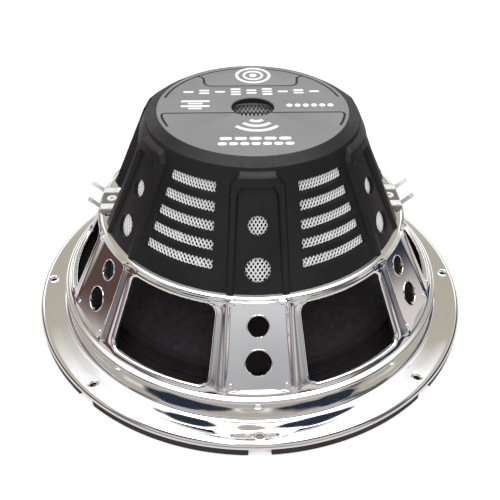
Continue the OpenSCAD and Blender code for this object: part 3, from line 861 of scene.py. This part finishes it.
def build_badge_marks():
    """Plain raised marks in place of the printing: a cone seen from the front, waves, levels and bars."""
    low, high = COVER_TOP_Z - 0.2, COVER_TOP_Z + 0.28
    middle = flat(0, 0, (low + high) / 2)
    parts = [prism("mark", circle(2.6, 24), flat(2, 47, (low + high) / 2), high - low)]
    for r, width in ((6.4, 1.8), (11.4, 2.1)):
        parts.append(stroke("mark", circle_path((2, 47), r), width, low, high, closed=True))
    for r in (5.0, 11.0, 17.0):
        parts.append(stroke("mark", bend((1.5, -15.5), r, -139, -41, 20), 2.5, low, high))
    bars = []
    for i, count in enumerate((1, 2, 1, 3, 2, 3, 1, 2, 1)):
        bars += [(10.6 * (i - 4), 21.4 + 3.9 * (k - (count - 1) / 2), 7.0, 1.8) for k in range(count)]
    bars += [(-37.5, 7.6, 19, 2.0), (-37.5, 4.3, 10, 1.7), (-37.5, 0.6, 19, 2.0), (-37.5, -2.6, 9, 1.7)]
    bars += [(24 + 5.4 * i, 1.0, 4.1, 4.2) for i in range(6)]
    bars += [(-18 + 9 * i, -42.2, 7.6, 3.2) for i in range(5)]
    bars += [(-20.2 + 6.75 * i, -48.4, 5.6, 3.2) for i in range(7)]
    for x, y, length, width in bars:
        parts.append(prism("mark", pill(x, y, length, width), middle, high - low))
    obj = joined("badge_marks", parts)
    return shade(soften(obj, 0.1, 1, 50), 35)


badge = build_badge()
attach(badge, FIXED)
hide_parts("badge_disc")
marks = build_badge_marks()
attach(marks, FIXED)
# A black sheet in the bottom of each engraved line: painted shade in the grooves
shade_sheet_z = COVER_TOP_Z - LINE_DEPTH
lines = joined("badge_line_painted_shade", [stroke("line", path, LINE_WIDTH, shade_sheet_z, shade_sheet_z + LINE_SHADE_SHEET)
                                   for path in badge_lines()])
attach(lines, FIXED)


# ---------------------------------------------------------------- gasket and moving parts

def sheet_outline(path, t):
    """A closed outline of thickness t round a path of [radius, height] points."""
    path = np.array(path, float)
    ahead = np.diff(path, axis=0)
    ahead /= np.linalg.norm(ahead, axis=1)[:, None]
    before, after = np.vstack([ahead[:1], ahead]), np.vstack([ahead, ahead[-1:]])
    mean = (before + after) / (1 + (before * after).sum(1))[:, None]
    side = np.stack([-mean[:, 1], mean[:, 0]], -1) * t / 2
    return [tuple(p) for p in path + side] + [tuple(p) for p in (path - side)[::-1]]


GASKET_GAP = 5.2
GASKET_HALF = (360 / SCREWS - GASKET_GAP) / 2


def build_gasket():
    parts = []
    lip = FLANGE_R - LIP_R - 0.4
    lip_z = FLANGE_Z - LIP_R - 0.1
    outline = [(140.5, 0.9), (140.8, 0.25), (141.5, 0), (157.4, 0), (158.05, 0.25), (158.3, 0.9),
               (158.3, lip_z - 0.3), (158, lip_z), (lip, lip_z), (lip, FLANGE_Z - SHEET_T),
               (140.5, FLANGE_Z - SHEET_T)]
    for k in range(SCREWS):
        az = (k + 0.5) * 360 / SCREWS
        parts.append(soften(revolved("segment", outline, 36, az - GASKET_HALF, az + GASKET_HALF), 0.5, 3, 50))
    return shade(joined("gasket_rubber_ring", parts), 35)


gasket = build_gasket()
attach(gasket, FIXED)
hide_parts("gasket_segments")

CONE_R = 111.5
CONE_EDGE_Z = 22.2
CONE_NECK = (32.15, 64.0)
CONE_T = 1.4
CONE_SAG = 0.8


def bend_between(obj, z):
    """Bakes the object's transform into its mesh and reads its points, which are not used further."""
    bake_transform(obj)
    count = len(obj.data.vertices)
    co = np.empty(count * 3, np.float32)
    obj.data.vertices.foreach_get("co", co)


BEAD_RING_R = 115.6


def build_surround():
    land = SHELF_Z - SHEET_T - 0.5
    path = [(135.6, land), (133.2, land)] + arc((122.6, land), 9.6, 0, -180, 28)
    path += [(112.0, land - 0.35), (CONE_R - 0.4, CONE_EDGE_Z + 0.6), (109, CONE_EDGE_Z + 1.25),
             (106.8, CONE_EDGE_Z + 1.85)]
    bead = revolved("bead", arc((BEAD_RING_R, land - 5.9), 0.75, 0, 330, 11), 240)
    obj = shade(joined("surround_roll", [revolved("roll", sheet_outline(path, 0.9), 240), bead]), 50)
    bend_between(obj, land)
    return obj


surround = build_surround()
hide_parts("surround")


def build_cone():
    rim = (CONE_R - 5, CONE_EDGE_Z + 1.4)
    neck = (CONE_NECK[0] + 2, CONE_NECK[1])
    path = [(CONE_NECK[0], CONE_NECK[1] + 0.01), neck]
    for i in range(1, 24):
        s = i / 24
        sag = CONE_SAG * sin(pi * s)
        r, z = (a + (b - a) * s for a, b in zip(neck, rim))
        path.append((r - sag * 0.46, z - sag * 0.88))
    path += [rim, (CONE_R, CONE_EDGE_Z)]
    path = [(r, z - CONE_T / 2) for r, z in path]
    return shade(revolved("cone_body", sheet_outline(path, CONE_T), 240), 50)


cone = build_cone()
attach(cone, MOVING)
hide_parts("cone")


def build_cap():
    slope = (CONE_NECK[1] - CONE_EDGE_Z) / (CONE_R - CONE_NECK[0])
    edge_r, height = 46, 13
    edge_z = CONE_EDGE_Z + (CONE_R - edge_r) * slope - 2 * CONE_T
    ball = (edge_r ** 2 + height ** 2) / (2 * height)
    half = degrees(asin((edge_r - 3) / ball))
    dome = [(max(r, 0.01), z) for r, z in arc((0, edge_z - height + ball), ball, -90, -90 + half, 28)]
    foot = [(edge_r + x, dome[-1][1] + z) for x, z in ((-1.6, 0.5), (0, 0.35), (1.6, -0.5))]
    return shade(revolved("dust_cap_dome", sheet_outline(dome + foot, 1.1), 160), 50)


cap = build_cap()
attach(cap, MOVING)
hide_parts("dust_cap")


def build_spider():
    inner, r0, r1, outer, mean, wave = 33.4, 37.6, 76.0, 86.0, 76.75, 2.1
    rolls, steps = 5, 80
    path = [(inner, mean + 1.5), (inner + 0.4, mean), (inner + 1.4, mean)]
    path += [(r0 + (r1 - r0) * i / steps, mean - wave * sin(2 * pi * rolls * i / steps))
             for i in range(steps + 1)]
    land = LEDGE_Z - SHEET_T - 0.5
    path += [(77.6, mean + 0.5), (78.6, mean + 2.4), (79.8, land), (outer, land)]
    obj = shade(revolved("spider_cloth_disc", sheet_outline(path, 0.8), 200), 60)
    bend_between(obj, mean)
    return obj


spider = build_spider()
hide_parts("spider")

LEAD_ROUTE = ((93.4, 10.2, 84.65), (90.6, 10.2, 84.6), (89.4, 10, 80), (86, 9.8, 72.5), (78, 9.4, 68.6),
              (66, 8.8, 67), (54, 8, 67.4), (44, 7.2, 68.4), (33.9, 6.4, 69.6))
LEAD_R = 1.0


def smooth_route(points, steps):
    """Points at even steps along the smooth curve through a few points."""
    points = np.array(points, float)
    padded = np.vstack([points[:1], points, points[-1:]])
    fine = []
    for i in range(1, len(padded) - 2):
        p0, p1, p2, p3 = padded[i - 1:i + 3]
        for s in np.linspace(0, 1, 24, endpoint=False):
            fine.append(0.5 * (2 * p1 + (p2 - p0) * s + (2 * p0 - 5 * p1 + 4 * p2 - p3) * s ** 2
                               + (3 * p1 - p0 - 3 * p2 + p3) * s ** 3))
    fine = np.array(fine + [points[-1]])
    run = np.concatenate([[0], np.cumsum(np.linalg.norm(np.diff(fine, axis=0), axis=1))])
    even = np.linspace(0, run[-1], steps)
    return np.stack([np.interp(even, run, fine[:, k]) for k in range(3)], -1), run[-1]


def braided(name, route, r, strands=6, turns_per_mm=0.16, steps=150, sides=6):
    """A lead of round strands laid round one another along a route."""
    centre, length = smooth_route(route, steps)
    along = np.gradient(centre, axis=0)
    along /= np.linalg.norm(along, axis=1)[:, None]
    across = np.cross(along, [0, 0, 1.0])
    across /= np.linalg.norm(across, axis=1)[:, None]
    over = np.cross(across, along)
    parts = []
    wire = r * 0.42
    for k in range(strands):
        turn = 2 * pi * (np.linspace(0, length, steps) * turns_per_mm + k / strands)
        path = centre + (r - wire) * (np.cos(turn)[:, None] * across + np.sin(turn)[:, None] * over)
        points = []
        for i in range(steps):
            for a in np.linspace(0, 2 * pi, sides, endpoint=False):
                points.append(path[i] + wire * (cos(a) * across[i] + sin(a) * over[i]))
        faces = grid_faces(steps, sides, closed_cols=True)
        faces += [tuple(range(sides)), tuple(range((steps - 1) * sides, steps * sides))[::-1]]
        parts.append(face_outwards(make("strand", points, faces)))
    return joined(name, parts)


def blob(centre, r, flatten):
    """A small mound of solder: a ball pressed flat, with an uneven edge."""
    points, rows, cols = [], 9, 20
    for i in range(rows):
        b = pi * (i + 0.5) / rows
        for j in range(cols):
            a = 2 * pi * j / cols
            d = r * (1 + 0.07 * sin(3 * a + 1) * sin(b))
            ball = (d * sin(b) * cos(a), d * sin(b) * sin(a), flatten * r * cos(b))
            points.append(np.add(centre, ball))
    faces = grid_faces(rows, cols, closed_cols=True)
    faces += [tuple(range(cols)), tuple(range((rows - 1) * cols, rows * cols))[::-1]]
    return face_outwards(make("blob", points, faces))


leads, solders = [], []
for side, side_name in ((-1, "left"), (1, "right")):
    for row, row_name in ((-1, "front"), (1, "rear")):
        route = [(side * x, row * y, z) for x, y, z in LEAD_ROUTE]
        lead = shade(braided(f"lead_braid_{side_name}_{row_name}", route, LEAD_R), 60)
        bend_between(lead, 72)
        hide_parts(f"tinsel_lead_{side_name}_{row_name}")
        leads.append(lead)
        joint = shade(blob((side * 94.2, row * 10.2, 84.75), 2.0, 0.55), 180)
        joint.name = f"solder_{side_name}_{row_name}"
        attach(joint, FIXED)
        glue = shade(blob((side * 34.3, row * 6.4, 69.6), 1.7, 0.8), 180)
        glue.name = f"lead_glue_{side_name}_{row_name}"
        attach(glue, MOVING)
        solders += [joint, glue]


# ---------------------------------------------------------------- materials

def nodes_of(tree):
    tree.nodes.clear()
    return tree.nodes, tree.links


def ramp(node, stops):
    elements = node.color_ramp.elements
    while len(elements) > 1:
        elements.remove(elements[-1])
    elements[0].position, elements[0].color = stops[0][0], (*stops[0][1], 1)
    for position, colour in stops[1:]:
        elements.new(position).color = (*colour, 1)


def put(node, **values):
    """Sets constants on a node's inputs; an underscore stands for a space in an input's name."""
    for key, value in values.items():
        node.inputs[key.replace("_", " ")].default_value = value


# The part of its range that a noise texture mostly keeps to
NOISE_SPAN = (0.3, 0.7)


class Finish:
    """A procedural material on the object's own coordinates, in metres."""

    def __init__(self, name, colour, roughness, metallic=0.0, **sockets):
        self.material = bpy.data.materials.new(name)
        self.material.use_nodes = True
        tree = self.material.node_tree
        self.nodes, self.links = tree.nodes, tree.links
        self.shader = self.nodes["Principled BSDF"]
        self.coord = self.nodes.new("ShaderNodeTexCoord").outputs["Object"]
        put(self.shader, Base_Color=(*colour, 1), Roughness=roughness, Metallic=metallic, **sockets)

    def texture(self, kind, **values):
        node = self.nodes.new("ShaderNodeTex" + kind)
        put(node, **values)
        self.links.new(self.coord, node.inputs["Vector"])
        return node

    def noise(self, scale, detail=3.0):
        return self.texture("Noise", Scale=scale, Detail=detail).outputs["Fac"]

    def cells(self, scale):
        return self.texture("Voronoi", Scale=scale).outputs["Distance"]

    def waves(self, scale, direction="X", distortion=0.0, rings=False):
        node = self.texture("Wave", Scale=scale, Distortion=distortion)
        if rings:
            node.wave_type, node.rings_direction = "RINGS", direction
        else:
            node.bands_direction = direction
        return node.outputs["Fac"]

    def vary_colour(self, source, low, high):
        node = self.nodes.new("ShaderNodeValToRGB")
        ramp(node, list(zip(NOISE_SPAN, (low, high))))
        self.links.new(source, node.inputs[0])
        self.links.new(node.outputs[0], self.shader.inputs["Base Color"])

    def vary_roughness(self, source, low, high):
        node = self.nodes.new("ShaderNodeMapRange")
        put(node, From_Min=NOISE_SPAN[0], From_Max=NOISE_SPAN[1], To_Min=low, To_Max=high)
        self.links.new(source, node.inputs["Value"])
        self.links.new(node.outputs[0], self.shader.inputs["Roughness"])

    def bump(self, source, distance, strength=1.0):
        """Raises the surface by distance millimetres; a second call adds to the first."""
        node = self.nodes.new("ShaderNodeBump")
        put(node, Distance=distance * MM, Strength=strength)
        self.links.new(source, node.inputs["Height"])
        link = self.shader.inputs["Normal"]
        if link.links:
            self.links.new(link.links[0].from_socket, node.inputs["Normal"])
        self.links.new(node.outputs[0], link)


def dress(finish, *objects):
    for obj in objects:
        obj.data.materials.clear()
        obj.data.materials.append(finish.material)
        obj.data.polygons.foreach_set("material_index", [0] * len(obj.data.polygons))


def dress_node(finish, *names):
    for name in names:
        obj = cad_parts[name]
        for slot in obj.material_slots:
            slot.material = finish.material
        if not obj.material_slots:
            obj.data.materials.append(finish.material)


def grey(value):
    return (value, value, value)


chrome = Finish("chrome_plate", (0.93, 0.93, 0.94), 0.04, 1.0)
chrome.vary_roughness(chrome.noise(60, 5), 0.02, 0.07)
chrome.bump(chrome.noise(26, 1), 0.35, 0.5)
dress(chrome, basket)

plastic = Finish("moulded_plastic", (0.0065, 0.0063, 0.0065), 0.4, Specular_IOR_Level=0.3)
plastic.vary_colour(plastic.noise(35, 4), (0.005, 0.0048, 0.005), (0.008, 0.0078, 0.008))
plastic.vary_roughness(plastic.noise(220, 4), 0.36, 0.46)
plastic.bump(plastic.noise(1900, 2), 0.09, 0.7)
# The black sheet in the badge's engraved lines takes the cover's plastic, as painted shade
dress(plastic, cover, lines)

mesh_metal = Finish("expanded_steel", (0.7, 0.7, 0.71), 0.36, 0.3)
mesh_metal.vary_roughness(mesh_metal.noise(700, 3), 0.26, 0.44)
mesh_metal.bump(mesh_metal.noise(1500, 2), 0.05, 0.5)
dress(mesh_metal, liner, screen)

satin = Finish("satin_grey", (0.19, 0.19, 0.19), 0.42, Specular_IOR_Level=0.4)
satin.vary_colour(satin.noise(30, 4), grey(0.18), grey(0.2))
satin.vary_roughness(satin.noise(400, 4), 0.36, 0.5)
satin.bump(satin.noise(2200, 2), 0.03, 0.6)
dress(satin, badge)

paint = Finish("white_print", (0.82, 0.82, 0.82), 0.4)
paint.vary_colour(paint.noise(300, 3), grey(0.76), grey(0.86))
paint.bump(paint.noise(1500, 2), 0.02, 0.5)
dress(paint, marks)

rubber = Finish("black_rubber", (0.014, 0.011, 0.014), 0.7, Specular_IOR_Level=0.3)
rubber.vary_colour(rubber.noise(60, 5), (0.010, 0.008, 0.010), (0.020, 0.015, 0.019))
rubber.vary_roughness(rubber.noise(120, 4), 0.6, 0.85)
rubber.bump(rubber.noise(1400, 3), 0.12, 0.7)
dress(rubber, gasket)

foam = Finish("surround_foam", (0.009, 0.0075, 0.0085), 0.8, Specular_IOR_Level=0.25)
foam.vary_colour(foam.noise(90, 4), (0.0065, 0.0055, 0.0062), (0.0115, 0.0095, 0.011))
foam.bump(foam.cells(1500), 0.12, 0.6)
dress(foam, surround)

paper = Finish("cone_paper", (0.013, 0.0105, 0.0125), 0.82, Specular_IOR_Level=0.25)
paper.vary_colour(paper.noise(260, 6), (0.0095, 0.0078, 0.0092), (0.0175, 0.0142, 0.0168))
paper.vary_roughness(paper.noise(60, 4), 0.74, 0.9)
paper.bump(paper.noise(900, 5), 0.2, 0.7)
dress(paper, cone)

cap_paper = Finish("cap_paper", (0.016, 0.015, 0.016), 0.6, Specular_IOR_Level=0.4)
cap_paper.vary_colour(cap_paper.noise(500, 5), grey(0.012), grey(0.022))
cap_paper.bump(cap_paper.noise(1100, 4), 0.1, 0.6)
dress(cap_paper, cap)

cloth = Finish("spider_cloth", (0.42, 0.27, 0.07), 0.75)
cloth.vary_colour(cloth.noise(220, 4), (0.34, 0.2, 0.05), (0.5, 0.33, 0.1))
cloth.bump(cloth.waves(420, "X", 0.6), 0.12, 0.8)
cloth.bump(cloth.waves(420, "Y", 0.6), 0.12, 0.8)
dress(cloth, spider)

braid = Finish("tinned_copper_braid", (0.72, 0.46, 0.33), 0.35, 1.0)
braid.vary_colour(braid.noise(900, 3), (0.62, 0.36, 0.24), (0.8, 0.62, 0.5))
braid.bump(braid.waves(1500, "DIAGONAL", 1.0), 0.08, 0.7)
dress(braid, *leads)

tin = Finish("tinned_metal", (0.9, 0.9, 0.89), 0.34, 0.65)
tin.vary_roughness(tin.noise(500, 4), 0.26, 0.46)
tin.bump(tin.noise(700, 3), 0.06, 0.6)
dress(tin, *solders[0::2])
dress_node(tin, *[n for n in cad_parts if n.startswith(("terminal_tab", "terminal_rivet"))])

card = Finish("glued_card", (0.06, 0.045, 0.035), 0.6)
card.vary_colour(card.noise(300, 4), (0.045, 0.033, 0.026), (0.08, 0.06, 0.045))
card.bump(card.noise(800, 4), 0.1, 0.6)
dress(card, *solders[1::2])
dress_node(card, "former_collar")

phenolic = Finish("phenolic_board", (0.11, 0.11, 0.115), 0.5)
phenolic.vary_colour(phenolic.noise(150, 5), (0.085, 0.085, 0.09), (0.14, 0.14, 0.145))
phenolic.bump(phenolic.waves(900, "Y", 2.0), 0.03, 0.6)
dress_node(phenolic, "terminal_board_left", "terminal_board_right")

film = Finish("former_film", (0.42, 0.22, 0.06), 0.3, Coat_Weight=0.4)
film.vary_colour(film.noise(60, 4), (0.36, 0.18, 0.045), (0.48, 0.27, 0.08))
film.bump(film.waves(60, "Z", 1.0), 0.05, 0.5)
dress_node(film, "coil_former")

copper = Finish("enamelled_copper", (0.72, 0.34, 0.16), 0.28, 1.0)
copper.vary_colour(copper.noise(250, 3), (0.64, 0.28, 0.12), (0.78, 0.4, 0.2))
copper.bump(copper.waves(320, "Z"), 0.25, 1.0)
dress_node(copper, "voice_coil_inner", "voice_coil_outer")

steel = Finish("plated_steel", (0.52, 0.52, 0.5), 0.34, 1.0)
steel.vary_colour(steel.noise(80, 5), (0.44, 0.44, 0.42), (0.58, 0.58, 0.56))
steel.vary_roughness(steel.noise(300, 4), 0.26, 0.46)
steel.bump(steel.waves(500, "Z", 1.5, rings=True), 0.04, 0.5)
dress_node(steel, "top_plate", "pole_yoke")

ferrite = Finish("ferrite", (0.045, 0.045, 0.048), 0.62)
ferrite.vary_colour(ferrite.noise(120, 6), (0.035, 0.035, 0.037), (0.065, 0.065, 0.07))
ferrite.bump(ferrite.noise(700, 6), 0.25, 0.7)
dress_node(ferrite, "ring_magnet")

zinc = Finish("zinc_screw", (0.7, 0.7, 0.68), 0.3, 1.0)
zinc.vary_roughness(zinc.noise(600, 4), 0.22, 0.42)
zinc.bump(zinc.noise(900, 3), 0.05, 0.5)
dress_node(zinc, "motor_screws", "cover_screws")


# ---------------------------------------------------------------- camera, stage and light

def look_camera():
    """A camera where the photograph's camera stood."""
    turn, pitch, roll = radians(2.697), radians(38.25), radians(0.817)
    forward = Vector((sin(turn) * cos(pitch), cos(turn) * cos(pitch), -sin(pitch)))
    level = Vector((cos(turn), -sin(turn), 0))
    upright = level.cross(forward)
    right = cos(roll) * level + sin(roll) * upright
    up = cos(roll) * upright - sin(roll) * level
    data = bpy.data.cameras.new("camera")
    data.sensor_width = 36
    data.lens = 51.2
    data.clip_start, data.clip_end = 0.01, 50
    camera = bpy.data.objects.new("camera", data)
    camera.matrix_world = Matrix.Translation(Vector((-20.3, -421.1, 367.8)) * MM) @ \
        Matrix((right, up, -forward)).transposed().to_4x4()
    bpy.context.scene.collection.objects.link(camera)
    bpy.context.scene.camera = camera


look_camera()


NAVY, BROWN, BEIGE, SHADE = (0.022, 0.03, 0.05), (0.10, 0.06, 0.05), (0.5, 0.46, 0.38), (0.12, 0.11, 0.11)
PALE, WARM = (1.4, 1.4, 1.4), (0.6, 0.55, 0.48)
# What stands round the studio: azimuth and elevation, half-sizes in degrees, and colour
AROUND = ((-42, 50, 30, 11, NAVY), (42, 50, 30, 11, NAVY), (96, 2, 34, 14, NAVY), (-96, 2, 34, 14, BROWN),
          (0, 54, 11, 9, BEIGE), (-58, 18, 9, 14, SHADE), (62, 22, 11, 18, SHADE), (146, 18, 20, 12, PALE),
          (-146, 18, 20, 12, PALE), (0, 70, 45, 5, WARM))

# Colour of the room by height: 0 is straight down, 0.5 level and 1 straight up
WALLS = [(0.0, (0.8, 0.75, 0.73)), (0.36, (0.74, 0.68, 0.66)), (0.45, (0.34, 0.31, 0.3)),
         (0.5, (0.14, 0.14, 0.15)), (0.55, (0.42, 0.42, 0.43)), (0.62, (0.66, 0.66, 0.67)),
         (0.72, (0.62, 0.61, 0.59)), (0.79, (0.46, 0.43, 0.35)), (0.845, (0.48, 0.45, 0.38)),
         (0.87, (1.0, 1.0, 1.0)), (0.91, (1.5, 1.5, 1.5)), (0.95, (3.8, 3.8, 3.8))]


def studio_world():
    """White for the eye and for matt light; gloss picks up a room with walls, dark corners and a lamp."""
    world = bpy.data.worlds.new("studio")
    bpy.context.scene.world = world
    world.use_nodes = True
    nodes, links = nodes_of(world.node_tree)

    def feed(socket, value):
        if isinstance(value, bpy.types.NodeSocket):
            links.new(value, socket)
        else:
            socket.default_value = value

    def sums(operation, a, b=0.0):
        node = nodes.new("ShaderNodeMath")
        node.operation = operation
        feed(node.inputs[0], a)
        feed(node.inputs[1], b)
        return node.outputs[0]

    direction = nodes.new("ShaderNodeTexCoord").outputs["Generated"]
    blur = nodes.new("ShaderNodeTexNoise")
    put(blur, Scale=2.6, Detail=2.0)
    links.new(direction, blur.inputs["Vector"])
    shift = nodes.new("ShaderNodeVectorMath")
    shift.operation = "MULTIPLY_ADD"
    links.new(blur.outputs["Color"], shift.inputs[0])
    shift.inputs[1].default_value = grey(0.34)
    shift.inputs[2].default_value = grey(-0.17)
    bent = nodes.new("ShaderNodeVectorMath")
    links.new(direction, bent.inputs[0])
    links.new(shift.outputs[0], bent.inputs[1])
    unit = nodes.new("ShaderNodeVectorMath")
    unit.operation = "NORMALIZE"
    links.new(bent.outputs[0], unit.inputs[0])
    split = nodes.new("ShaderNodeSeparateXYZ")
    links.new(unit.outputs[0], split.inputs[0])
    x, y, z = split.outputs
    height = sums("MULTIPLY_ADD", z, 0.5)
    height.node.inputs[2].default_value = 0.5
    walls = nodes.new("ShaderNodeValToRGB")
    ramp(walls, WALLS)
    links.new(height, walls.inputs[0])
    colour = walls.outputs[0]
    azimuth = sums("ARCTAN2", x, sums("MULTIPLY", y, -1.0))
    elevation = sums("ARCSINE", z)
    for az, up, wide, tall, tone in AROUND:
        across = sums("DIVIDE", sums("SUBTRACT", azimuth, radians(az)), radians(wide))
        along = sums("DIVIDE", sums("SUBTRACT", elevation, radians(up)), radians(tall))
        off = sums("SQRT", sums("ADD", sums("MULTIPLY", across, across), sums("MULTIPLY", along, along)))
        share = nodes.new("ShaderNodeMapRange")
        share.interpolation_type = "SMOOTHSTEP"
        feed(share.inputs["Value"], off)
        put(share, From_Min=1.12, From_Max=0.88)
        mix = nodes.new("ShaderNodeMixRGB")
        feed(mix.inputs[0], share.outputs[0])
        feed(mix.inputs[1], colour)
        mix.inputs[2].default_value = (*tone, 1)
        colour = mix.outputs[0]
    room = nodes.new("ShaderNodeBackground")
    links.new(colour, room.inputs["Color"])
    white = nodes.new("ShaderNodeBackground")
    put(white, Color=(1, 1, 1, 1), Strength=1.02)
    path = nodes.new("ShaderNodeLightPath")
    choose = nodes.new("ShaderNodeMixShader")
    links.new(path.outputs["Is Glossy Ray"], choose.inputs[0])
    links.new(white.outputs[0], choose.inputs[1])
    links.new(room.outputs[0], choose.inputs[2])
    out = nodes.new("ShaderNodeOutputWorld")
    links.new(choose.outputs[0], out.inputs[0])


studio_world()


FLOOR_HALF = 3000
floor = make("floor", [(x * FLOOR_HALF, y * FLOOR_HALF, 0) for x, y in ((-1, -1), (1, -1), (1, 1), (-1, 1))],
             [(0, 1, 2, 3)])
pale = Finish("studio_floor", (0.9, 0.9, 0.9), 0.8)
pale.vary_colour(pale.noise(2, 2), grey(0.88), grey(0.91))
dress(pale, floor)
floor.visible_glossy = False

sun = bpy.data.lights.new("front_light", "SUN")
sun.energy = 2.4
sun.angle = radians(50)
sun_object = bpy.data.objects.new("front_light", sun)
sun_object.rotation_euler = (radians(48), 0, radians(-4))
sun_object.visible_glossy = False
bpy.context.scene.collection.objects.link(sun_object)

bpy.context.scene.view_settings.view_transform = "Standard"
bpy.context.view_layer.update()
